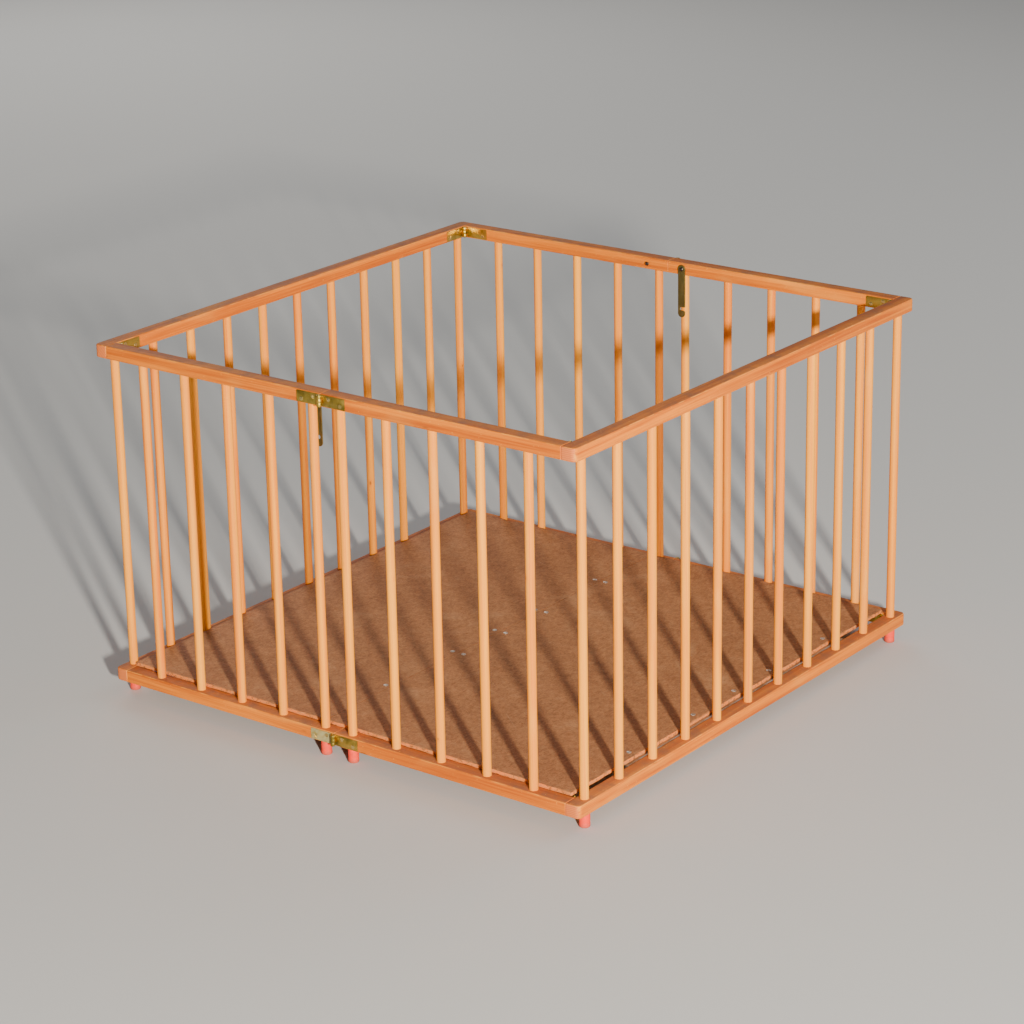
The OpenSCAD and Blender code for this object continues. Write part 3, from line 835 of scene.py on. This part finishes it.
def bar_row_tree():
    """A row of dowels between two points, each a little bowed, some with a longer lower end."""
    n, value = new_tree(
        "Dowel row",
        ("Count", "Int", 5), ("First", "Vector", None), ("Last", "Vector", None),
        ("Diameter", "Float", 0.015), ("Height", "Float", 0.58), ("Foot reach", "Float", 0.03),
        ("Foot at first", "Bool", True), ("Foot at last", "Bool", False), ("Bow", "Float", 0.0003),
        ("Seed", "Int", 1), ("Finish", "Material", None),
    )

    def store(geometry, name, number):
        return n.add(
            "GeometryNodeStoreNamedAttribute", {"data_type": "FLOAT", "domain": "POINT"},
            {"Geometry": geometry, "Name": name, "Value": number},
        )

    index = n.add("GeometryNodeInputIndex")
    share = index / (value["Count"] - 1).maximum(1)
    where = n.add(
        "ShaderNodeMix", {"data_type": "VECTOR"}, {0: share, 4: value["First"], 5: value["Last"]}, out=1
    )
    points = n.add("GeometryNodePoints", {}, {"Count": value["Count"], "Position": where, "Radius": 0.01})
    at_first = (index < 0.5) * value["Foot at first"]
    at_last = (index > value["Count"] - 1.5) * value["Foot at last"]
    reach = (at_first + at_last).clamp() * value["Foot reach"]
    points = store(points, "bar_tone", n.random(1.0, value["Seed"]))
    points = store(points, "reach", reach)

    line = n.add("GeometryNodeCurvePrimitiveLine", {}, {"Start": (0, 0, 0), "End": (0, 0, 1)})
    line = n.add("GeometryNodeResampleCurve", {}, {"Curve": line, "Count": 25})
    drawn_reach = n.named("reach")
    scale = n.join(1.0, 1.0, value["Height"] + drawn_reach)
    lines = n.add("GeometryNodeInstanceOnPoints", {}, {"Points": points, "Instance": line, "Scale": scale})
    drop = n.join(0.0, 0.0, -drawn_reach)
    lines = n.add(
        "GeometryNodeTranslateInstances", {}, {"Instances": lines, "Translation": drop, "Local Space": False}
    )
    lines = n.add("GeometryNodeRealizeInstances", {}, {"Geometry": lines})

    x, y, z = n.split(n.add("GeometryNodeInputPosition"))
    wander = n.add(
        "ShaderNodeTexNoise", {"noise_dimensions": "3D"},
        {"Vector": n.join(x * 40, y * 40, z * 2.6 + n.named("bar_tone") * 30), "Scale": 1.0, "Detail": 1.0},
        out=1,
    )
    wander = n.vector_math("SUBTRACT", wander, (0.5, 0.5, 0.5))
    wander = n.vector_math("MULTIPLY", wander, (2.0, 2.0, 0.0))
    wander = n.add("ShaderNodeVectorMath", {"operation": "SCALE"}, {0: wander, "Scale": value["Bow"]})
    lines = n.add("GeometryNodeSetPosition", {}, {"Geometry": lines, "Offset": wander})

    size = {"Resolution": 28, "Radius": value["Diameter"] / 2}
    ring = n.add("GeometryNodeCurvePrimitiveCircle", {"mode": "RADIUS"}, size)
    bars = n.add("GeometryNodeCurveToMesh", {}, {"Curve": lines, "Profile Curve": ring, "Fill Caps": True})
    return end_tree(n, bars, value["Finish"])


class PLAYPEN_OT_bars(bpy.types.Operator):
    """Build the dowel bars, one row for each panel and each half side"""

    bl_idname = "playpen.bars"
    bl_label = "Bars"

    def execute(self, context):
        look = context.scene.playpen_wood
        tree = bar_row_tree()
        low_end = LOW_RAIL_HIGH.z - BAR_SINK
        for seed, owner in enumerate(PANELS + HALVES):
            node = f"{owner}_bars"
            low, high, centre = span(node)
            panel = owner in PANELS
            along = Vector((1, 0, 0)) if panel else Vector((0, 1, 0))
            reach = (high - low).dot(along) / 2 - look.bar_diameter / 2
            first = Vector((centre.x, centre.y, low_end)) - along * reach
            last = first + along * 2 * reach
            piece = grow(node + "_wood", tree, {
                "Count": look.panel_bars if panel else look.half_bars,
                "First": tuple(first),
                "Last": tuple(last),
                "Diameter": look.bar_diameter,
                "Height": high.z - low_end,
                "Foot reach": low_end - low.z,
                "Foot at first": panel or owner.endswith("rear"),
                "Foot at last": panel or owner.endswith("front"),
                "Bow": look.bow,
                "Seed": seed + 3,
                "Finish": MATERIALS["bars"],
            }, sharp=40)
            stand_in(piece, BODY[owner], "bar_wood", node)
        return {"FINISHED"}


class PLAYPEN_OT_feet(bpy.types.Operator):
    """Build the rubber feet under the bars that carry them"""

    bl_idname = "playpen.feet"
    bl_label = "Feet"

    def execute(self, context):
        rim, dent = 0.0022, 0.0005
        for owner in PANELS + HALVES:
            node = f"{owner}_feet" if owner in PANELS else f"{owner}_foot"
            low, high, centre = span(node)
            radius = (high.y - low.y) / 2
            top = high.z
            profile = [(0, 0.0007), (radius * 0.45, 0.0007), (radius * 0.62, 0.0)]
            profile += [(radius - rim + rim * math.sin(a), rim - rim * math.cos(a)) for a in arc(0, 91, 15)]
            profile += [
                (radius - 0.00012, top * 0.25), (radius - dent, top * 0.33), (radius - dent, top * 0.36),
                (radius - 0.00015, top * 0.43), (radius - 0.0002, top * 0.8), (radius - 0.00045, top - 0.0006),
                (radius - 0.001, top - 0.0001), (radius - 0.0016, top), (0, top),
            ]
            bm = bmesh.new()
            for x in (low.x + radius, high.x - radius) if owner in PANELS else (centre.x,):
                lathe(bm, profile, (x, centre.y, 0), UP, 40)
            piece = new_piece(node + "_rubber", bm, MATERIALS["rubber"], sharp=50)
            stand_in(piece, BODY[owner], "foot_rubber", node)
        return {"FINISHED"}


# ---- butt hinges -------------------------------------------------------------


def hinge_leaf(bm, axis, run, face, outer, look):
    """One leaf: a flat plate with round corners that rolls into its knuckles."""
    r, t, half = look.knuckle_radius, look.leaf_thickness, look.leaf_height / 2
    inner, gap, corner = r - t, 0.0002, 0.0016
    turn = Matrix((run, face, UP)).transposed()
    segment = (look.leaf_height - 2 * gap) / 3
    step = segment + gap

    def at(u, v, z):
        return bm.verts.new(axis + turn @ Vector((u, v, z)))

    plate_start = r + 0.0003
    round_u, round_z = look.leaf_length - corner, -half + corner
    edge = [(plate_start, -half), (round_u, -half)]
    edge += [
        (round_u + corner * math.sin(math.radians(d)), round_z - corner * math.cos(math.radians(d)))
        for d in (22.5, 45, 67.5, 90)
    ]
    edge += [(u, -z) for u, z in reversed(edge)]
    ring_faces(bm, [[at(u, v, z) for u, z in edge] for v in (-r, t - r)], caps=True)

    lap = plate_start + gap
    turns = [math.radians(-90 - 15 * i) for i in range(1, 18)]
    section = [(lap, -r), (0.0, -r)]
    section += [(r * math.cos(a), r * math.sin(a)) for a in turns]
    section += [(inner * math.cos(a), inner * math.sin(a)) for a in reversed(turns)]
    section += [(0.0, t - r), (lap, t - r)]
    for z0 in (-step, step) if outer else (0.0,):
        rings = [[at(u, v, z0 + end * segment / 2) for u, v in section] for end in (-1, 1)]
        ring_faces(bm, rings, caps=True)


class PLAYPEN_OT_hinges(bpy.types.Operator):
    """Build the butt hinges: leaves with rolled knuckles, and their pins"""

    bl_idname = "playpen.hinges"
    bl_label = "Hinges"

    def execute(self, context):
        look = context.scene.playpen_fittings
        for owner in PANELS + HALVES:
            for kind in ("corner", "mid") if owner in HALVES else ("corner",):
                bm = bmesh.new()
                for body, _, axis, run, face, outer, place in hinge_places():
                    if body == owner and place == kind:
                        hinge_leaf(bm, axis, run, face, outer, look)
                piece = new_piece(f"{owner}_{kind}_leaves", bm, MATERIALS["brass_" + kind])
                bevel(piece, 0.00022, 2, 40)
                bake(piece, sharp=35)
                nodes = (f"{owner}_hinge_leaves",) if kind == "corner" else ()
                stand_in(piece, BODY[owner], "brass", *nodes)

        pin = look.knuckle_radius - look.leaf_thickness - 0.0001
        half = look.leaf_height / 2
        end = [
            (0, half + 0.0002), (pin * 0.6, half + 0.0001), (pin - 0.0003, half - 0.0002), (pin, half - 0.0006),
        ]
        profile = [(radius, -z) for radius, z in end] + end[::-1]
        for node, body in HINGE_PINS.items():
            low, high, centre = span(node)
            on_panel = body in ("front_panel", "rear_panel")
            bm = bmesh.new()
            for x in (low.x + PIN_RADIUS, high.x - PIN_RADIUS) if on_panel else (centre.x,):
                for z in LEVEL_Z.values():
                    lathe(bm, profile, (x, centre.y, z), UP, 20)
            piece = new_piece(node + "_brass", bm, MATERIALS["brass_mid"], sharp=50)
            stand_in(piece, body, "brass", node)
        return {"FINISHED"}


# ---- screws and rivets, made by Geometry Nodes ------------------------------------


def points_mesh(name, places):
    """Bare vertices with the way that each head faces."""
    mesh = bpy.data.meshes.new(name)
    mesh.from_pydata([tuple(p) for p, _ in places], [], [])
    facing = mesh.attributes.new("facing", "FLOAT_VECTOR", "POINT")
    facing.data.foreach_set("vector", [c for _, f in places for c in f])
    return mesh


def heads_tree(name, slotted):
    """Round heads on points, turned to face their way; screws have a slot at a random angle."""
    n, value = new_tree(
        name,
        ("Points", "Geometry", None), ("Radius", "Float", 0.0037), ("Height", "Float", 0.0005),
        ("Slot width", "Float", 0.0009), ("Seed", "Int", 1), ("Finish", "Material", None),
    )
    radius, height = value["Radius"], value["Height"]
    ball = n.add("GeometryNodeMeshUVSphere", {}, {"Segments": 24, "Rings": 12, "Radius": 1.0})
    head = n.add("GeometryNodeTransform", {}, {"Geometry": ball, "Scale": n.join(radius, radius, height)})
    if slotted:
        slot_size = n.join(radius * 2.4, value["Slot width"], height * 1.3)
        slot = n.add("GeometryNodeMeshCube", {}, {"Size": slot_size})
        lift = n.join(0.0, 0.0, height * 0.95)
        slot = n.add("GeometryNodeTransform", {}, {"Geometry": slot, "Translation": lift})
        head = n.add(
            "GeometryNodeMeshBoolean", {"operation": "DIFFERENCE", "solver": "EXACT"},
            {"Mesh 1": head, "Mesh 2": slot},
        )
    head = n.add("GeometryNodeSetShadeSmooth", {}, {"Geometry": head, "Shade Smooth": True})
    facing = n.named("facing", "FLOAT_VECTOR")
    turned = n.add("FunctionNodeAlignRotationToVector", {"axis": "Z"}, {"Vector": facing})
    heads = n.add(
        "GeometryNodeInstanceOnPoints", {}, {"Points": value["Points"], "Instance": head, "Rotation": turned}
    )
    spin = n.join(0.0, 0.0, n.random(3.14, value["Seed"]))
    heads = n.add(
        "GeometryNodeRotateInstances", {}, {"Instances": heads, "Rotation": spin, "Local Space": True}
    )
    return end_tree(n, heads, value["Finish"])


class PLAYPEN_OT_screws(bpy.types.Operator):
    """Set the screws of the butt hinges"""

    bl_idname = "playpen.screws"
    bl_label = "Hinge screws"

    def execute(self, context):
        look = context.scene.playpen_fittings
        tree = heads_tree("Slotted screw heads", True)
        depth = look.leaf_thickness - look.knuckle_radius - 0.0001
        for seed, owner in enumerate(PANELS + HALVES):
            places = [
                (axis + run * u + face * depth + UP * v, face)
                for body, _, axis, run, face, *_ in hinge_places() if body == owner for u, v in LEAF_SCREWS
            ]
            node = f"{owner}_hinge_screws"
            piece = grow(node + "_brass", tree, {
                "Radius": look.screw_radius, "Height": 0.00055, "Slot width": look.slot_width,
                "Seed": seed + 1, "Finish": MATERIALS["screw"],
            }, base=points_mesh(node, places), sharp=40)
            stand_in(piece, BODY[owner], "brass", node)
        return {"FINISHED"}


class PLAYPEN_OT_rivets(bpy.types.Operator):
    """Set the rivets of the floor hinges, with a head on each side of the board"""

    bl_idname = "playpen.rivets"
    bl_label = "Floor rivets"

    def execute(self, context):
        look = context.scene.playpen_floor
        tree = heads_tree("Rivet heads", False)
        set_in, below = 0.0001, 0.001
        spots = {
            "floor_front": [(x, SEAM_Y - SEAM_RIVETS_OFF) for x in SEAM_RIVETS_X]
            + [(x, EDGE_RIVETS_Y) for x in EDGE_RIVETS_X],
            "floor_rear": [(x, SEAM_Y + SEAM_RIVETS_OFF) for x in SEAM_RIVETS_X],
        }
        for body, where in spots.items():
            node = body + "_rivets"
            board_low, board_high, _ = span(body + "_board")
            places = [(Vector((x, y, board_high.z - set_in)), UP) for x, y in where]
            places += [(Vector((x, y, board_low.z - below)), DOWN) for x, y in where]
            piece = grow(node + "_steel", tree, {
                "Radius": look.rivet_radius, "Height": look.rivet_height,
                "Seed": 2, "Finish": MATERIALS["rivet"],
            }, base=points_mesh(node, places))
            stand_in(piece, body, "rivet_steel", node)
        return {"FINISHED"}


# ---- hooks -------------------------------------------------------------------


def hook_outline(width, top_radius, reach, tail, notch):
    """Outline of a hanging hook, its pivot at the origin, its notch open to -U."""
    half, r, lip = width / 2, notch / 2, 0.0012
    side = math.asin(half / top_radius)
    turns = [-math.pi / 2 + side + (math.tau - 2 * side) * i / 24 for i in range(25)]
    points = [(top_radius * math.cos(a), top_radius * math.sin(a)) for a in turns]
    points += [(-half, -reach + r + lip), (-half + lip, -reach + r)]
    points += [(r * math.sin(a), -reach + r * math.cos(a)) for a in arc(0, 181, 15)]
    points += [(-half + lip, -reach - r), (-half, -reach - r - lip)]
    points += [(-half * math.cos(a), -(reach + tail) - half * math.sin(a)) for a in arc(0, 181, 12)]
    return points


def headed_pin(node, body, sx, profile_of, steps):
    """A pin turned from the profile that its head's radius and its standing length give."""
    low, high, centre = span(node)
    standing = INNER_FACE - min(abs(low.x), abs(high.x))
    bm = bmesh.new()
    profile = profile_of((high.y - low.y) / 2, standing)
    lathe(bm, profile, (sx * INNER_FACE, centre.y, centre.z), (-sx, 0, 0), steps)
    stand_in(new_piece(node + "_steel", bm, MATERIALS["steel"], sharp=50), body, "dark_steel", node)


def pivot_profile(head, tip):
    """A thick foot in the rail, a neck and a domed head."""
    root, foot, neck, dome = -0.001, 0.004, 0.0022, 0.0022
    profile = [(0, root), (foot, root), (foot, 0.0005), (neck, 0.0005)]
    profile += [(neck, tip - 0.0024), (head, tip - 0.0024)]
    profile += [(head * math.cos(a), tip - dome + dome * math.sin(a)) for a in arc(0, 90, 12)]
    return profile + [(0, tip)]


def catch_profile(head, tip):
    """A neck that the hook's notch takes, and a low round head."""
    root, neck, dome = -0.001, 0.002, 0.0010
    profile = [(0, root), (neck, root), (neck, tip - 0.0016)]
    profile += [(head - 0.0002, tip - 0.0016), (head, tip - 0.0013)]
    profile += [(head * math.cos(a), tip - dome + dome * math.sin(a)) for a in arc(0, 75, 12)]
    return profile + [(0, tip)]


class PLAYPEN_OT_hooks(bpy.types.Operator):
    """Build the hooks, their pivots and the catches that they drop on"""

    bl_idname = "playpen.hooks"
    bl_label = "Hooks and catches"

    def execute(self, context):
        look = context.scene.playpen_fittings
        tail = 0.0085
        for side, sx in SIDES:
            node = side + "_hook"
            low, high, centre = span(node)
            top_radius = (high.y - low.y) / 2
            pivot_z = high.z - top_radius
            reach = pivot_z - low.z - look.hook_width / 2 - tail
            outline = hook_outline(look.hook_width, top_radius, reach, tail, look.notch_width)
            bm = bmesh.new()
            rings = [
                [bm.verts.new((x, centre.y + sx * u, pivot_z + z)) for u, z in outline] for x in (low.x, high.x)
            ]
            ring_faces(bm, rings, caps=True)
            piece = new_piece(node + "_metal", bm, MATERIALS["hook"])
            bevel(piece, 0.00045, 3, 30)
            bake(piece, sharp=35)
            stand_in(piece, node, "hook_metal", node)
            hook_half, catch_half = ("rear", "front") if side == "left" else ("front", "rear")
            headed_pin(node + "_pivot", BODY[f"{side}_{hook_half}"], sx, pivot_profile, 36)
            headed_pin(side + "_catch", BODY[f"{side}_{catch_half}"], sx, catch_profile, 32)
        return {"FINISHED"}


# ---- floor -------------------------------------------------------------------


class PLAYPEN_OT_floor(bpy.types.Operator):
    """Build the floor boards with chipped edges, and finish their strip hinges"""

    bl_idname = "playpen.floor"
    bl_label = "Floor boards"

    def execute(self, context):
        look = context.scene.playpen_floor
        rng = random.Random(11)
        edge_zone, skin, chip_step = 0.02, 0.0006, 0.0014
        for body in ("floor_front", "floor_rear"):
            low, high, centre = span(body + "_board")
            half_x, half_y, half_z = (high - low) / 2
            outline = rounded_outline(half_x, half_y, (look.corner_radius,) * 4, 0, spacing=0.005)
            wave = [rng.random() for _ in outline]
            chips = []
            for i, (x, y) in enumerate(outline):
                ragged = (wave[i] + wave[(i + 1) % len(wave)] + wave[i - 1]) / 3
                outer = abs(x) > half_x - 0.004 or (y < 0) == (body == "floor_front")
                chips.append(look.chip_depth * (1.0 if outer else 0.1) * (0.25 + max(0.0, ragged - 0.40) * 3.2))
            levels = (
                (-half_z, 0.5), (-half_z + skin, 0.12), (0, 0.05), (half_z - chip_step, 0.12),
                (half_z - skin, 0.55), (half_z, 1.0),
            )
            bm = bmesh.new()
            rings = [
                [
                    bm.verts.new(centre + Vector((
                        x - math.copysign(chip * share, x) * (abs(x) > half_x - edge_zone),
                        y - math.copysign(chip * share, y) * (abs(y) > half_y - edge_zone), z)))
                    for (x, y), chip in zip(outline, chips)
                ]
                for z, share in levels
            ]
            ring_faces(bm, rings, caps=True)
            piece = new_piece(body + "_hardboard", bm, MATERIALS["board"], sharp=28)
            for face in (piece.data.polygons[-2], piece.data.polygons[-1]):
                face.use_smooth = False
            stand_in(piece, body, "floor_board", body + "_board")
        for node in STRIP_NODES:
            for material_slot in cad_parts[node].material_slots:
                material_slot.material = MATERIALS["strip"]
        return {"FINISHED"}


# ---- stage -------------------------------------------------------------------

STAGE_HALF = 30
SKY = (0.95, 0.96, 1.0, 1)
LOOK_AT = (0, 0, 0.3)
LIGHTS = (
    ("Key", (-4.75, -5.50, 2.15), 0.34, (1.0, 0.93, 0.82)),
    ("Fill", (4.5, -2.0, 4.0), 4.0, (0.92, 0.96, 1.0)),
    ("Back", (4.2, 5.6, 3.4), 4.0, (1.0, 0.97, 0.92)),
)
CAMERA_PLACE = (-3.9402, -3.0171, 2.0554)
CAMERA_TURN = (52.503, 19.607, -1.083)


def area_light(name, place, size, strength, tint):
    light = bpy.data.lights.new(name, "AREA")
    light.shape, light.size, light.energy, light.color = "DISK", size, strength, tint
    lamp = bpy.data.objects.new(name, light)
    lamp.location = place
    lamp.rotation_euler = (Vector(LOOK_AT) - Vector(place)).to_track_quat("-Z", "Y").to_euler()
    bpy.context.collection.objects.link(lamp)


class PLAYPEN_OT_stage(bpy.types.Operator):
    """Lay the pale floor, hang the soft lights and set the camera"""

    bl_idname = "playpen.stage"
    bl_label = "Stage"

    def execute(self, context):
        look = context.scene.playpen_stage
        n, finish = material("studio_floor")
        cloud = n.noise(n.place(), scale=1.2, detail=3)
        fine = n.noise(n.place(), scale=260, detail=2)
        paper = n.mix(cloud * 0.12, look.paper, tuple(c * 0.9 for c in look.paper))
        studio = finish(Base_Color=paper, Roughness=0.85, Normal=n.bump(fine, 0.0002, 0.4))
        bm = bmesh.new()
        bmesh.ops.create_grid(bm, x_segments=8, y_segments=8, size=STAGE_HALF)
        ground = new_piece("studio_floor", bm, studio)

        world = bpy.data.worlds.new("Studio")
        world.use_nodes = True
        background = world.node_tree.nodes["Background"]
        background.inputs["Color"].default_value = SKY
        background.inputs["Strength"].default_value = look.ambient
        context.scene.world = world
        strengths = look.key_power, look.fill_power, look.back_power
        for (name, place, size, tint), strength in zip(LIGHTS, strengths):
            area_light(name, place, size, strength, tint)

        camera = bpy.data.cameras.new("Camera")
        camera.lens, camera.sensor_width = look.lens, 36
        rig = bpy.data.objects.new("Camera", camera)
        azimuth, elevation, roll = (math.radians(angle) for angle in CAMERA_TURN)
        ahead = Vector((math.sin(azimuth), math.cos(azimuth), 0))
        forward = ahead * math.cos(elevation) + DOWN * math.sin(elevation)
        right = Vector((math.cos(azimuth), -math.sin(azimuth), 0))
        up = right.cross(forward)
        turned_right = right * math.cos(roll) + up * math.sin(roll)
        turned_up = up * math.cos(roll) - right * math.sin(roll)
        pose = Matrix((turned_right, turned_up, -forward)).transposed().to_4x4()
        pose.translation = CAMERA_PLACE
        rig.matrix_world = pose
        context.collection.objects.link(rig)
        context.scene.camera = rig
        return {"FINISHED"}


# ---- panel and running ---------------------------------------------------------


OPERATORS = (
    PLAYPEN_OT_rails, PLAYPEN_OT_bars, PLAYPEN_OT_feet, PLAYPEN_OT_hinges, PLAYPEN_OT_screws,
    PLAYPEN_OT_hooks, PLAYPEN_OT_floor, PLAYPEN_OT_rivets, PLAYPEN_OT_stage,
)
GROUPS = {
    "playpen_wood": PlaypenWood, "playpen_floor": PlaypenFloor,
    "playpen_fittings": PlaypenFittings, "playpen_stage": PlaypenStage,
}


class PLAYPEN_PT_panel(bpy.types.Panel):
    """Lists the playpen's pieces and their settings"""

    bl_idname = "PLAYPEN_PT_panel"
    bl_label = "Folding Playpen"
    bl_space_type = "VIEW_3D"
    bl_region_type = "UI"
    bl_category = "Playpen"

    def draw(self, context):
        for operator in OPERATORS:
            self.layout.operator(operator.bl_idname)
        for name, group in GROUPS.items():
            box = self.layout.box()
            settings = getattr(context.scene, name)
            for key in group.__annotations__:
                box.prop(settings, key)


def register():
    for cls in (*GROUPS.values(), *OPERATORS, PLAYPEN_PT_panel):
        bpy.utils.register_class(cls)
    for name, group in GROUPS.items():
        setattr(bpy.types.Scene, name, PointerProperty(type=group))


def unregister():
    for name in GROUPS:
        delattr(bpy.types.Scene, name)
    for cls in (PLAYPEN_PT_panel, *reversed(OPERATORS), *reversed(GROUPS.values())):
        bpy.utils.unregister_class(cls)


def main():
    register()
    make_materials()
    for operator in OPERATORS:
        group, name = operator.bl_idname.split(".")
        getattr(getattr(bpy.ops, group), name)()


if __name__ == "__main__":
    main()
